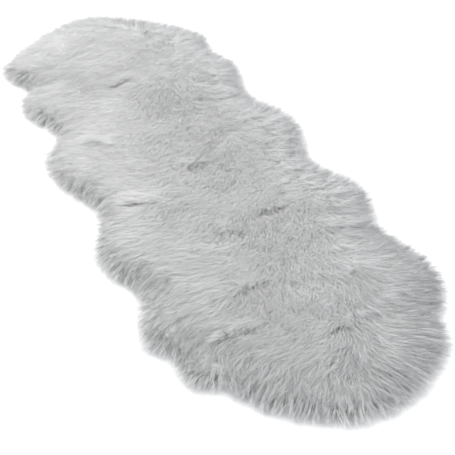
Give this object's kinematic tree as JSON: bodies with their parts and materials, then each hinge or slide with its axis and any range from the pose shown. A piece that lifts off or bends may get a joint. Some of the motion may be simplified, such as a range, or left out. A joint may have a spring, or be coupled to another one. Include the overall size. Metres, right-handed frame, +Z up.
{
  "type": "faux fur runner rug",
  "caption": "Long pale grey faux fur runner rug with a scalloped sheepskin outline, deep soft pile and a flat suede-look underside that lies on the floor.",
  "frame": {"origin": "on the floor plane under the middle of the rug", "axes": "+X along the rug towards its rounder end, +Y across it towards the side with the label, +Z up through the pile"},
  "size_m": [1.87, 0.6788, 0.0589],
  "materials": {
    "suede": "matt brushed suede-look cloth",
    "stitch_thread": "twisted polyester thread",
    "foam": "open-cell foam sheet",
    "latex": "matt rubbery coat",
    "knit": "plain knitted polyester",
    "overlock_thread": "bulked overlock thread",
    "underfur": "dense matt crimped fibre",
    "guard_hair": "long silky fibre with a soft sheen",
    "label_tape": "blank woven satin tape"
  },
  "bodies": {
    "root": {"suede_backing": "suede", "perimeter_stitch": "stitch_thread", "foam_interlining": "foam", "latex_back_coat": "latex", "knit_ground_cloth": "knit", "edge_overlock": "overlock_thread", "underfur_pile": "underfur", "guard_hair_pile": "guard_hair", "care_label": "label_tape"}
  },
  "joints": []
}
